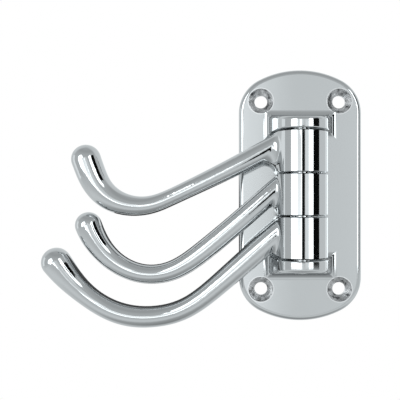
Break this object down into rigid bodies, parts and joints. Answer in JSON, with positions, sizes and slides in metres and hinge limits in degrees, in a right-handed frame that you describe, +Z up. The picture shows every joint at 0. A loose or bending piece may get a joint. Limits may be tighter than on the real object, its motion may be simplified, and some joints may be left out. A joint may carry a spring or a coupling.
{
  "type": "triple swivel hook",
  "caption": "Wall-mounted swivel hook: a screwed plate whose lugs hold a vertical pin with stacked J-shaped arms, each turning on its own.",
  "frame": {"origin": "centre of the plate's back face, which lies against the wall", "axes": "+Z up along the hinge pin's direction, +Y into the wall, -Y out to the front; the hooks rest swung to -X, parallel to the wall"},
  "size_m": [0.115, 0.0234, 0.0935],
  "materials": {
    "plate_chrome": "polished chrome plating on a cast plate",
    "hook_chrome": "polished chrome plating on a cast hook",
    "pin_steel": "plated steel pin, faced ends"
  },
  "bodies": {
    "wall_mount": {"backplate": "plate_chrome", "hinge_pin": "pin_steel"},
    "upper_arm": {"upper_hook": "hook_chrome"},
    "middle_arm": {"middle_hook": "hook_chrome"},
    "lower_arm": {"lower_hook": "hook_chrome"}
  },
  "joints": [
    {"name": "upper_swing", "type": "hinge", "parent": "wall_mount", "child": "upper_arm", "pos_m": [0, -0.0142, 0.01505], "axis": [0, 0, 1], "range_deg": [-5, 185]},
    {"name": "middle_swing", "type": "hinge", "parent": "wall_mount", "child": "middle_arm", "pos_m": [0, -0.0142, 0], "axis": [0, 0, 1], "range_deg": [-5, 185]},
    {"name": "lower_swing", "type": "hinge", "parent": "wall_mount", "child": "lower_arm", "pos_m": [0, -0.0142, -0.01505], "axis": [0, 0, 1], "range_deg": [-5, 185]}
  ]
}
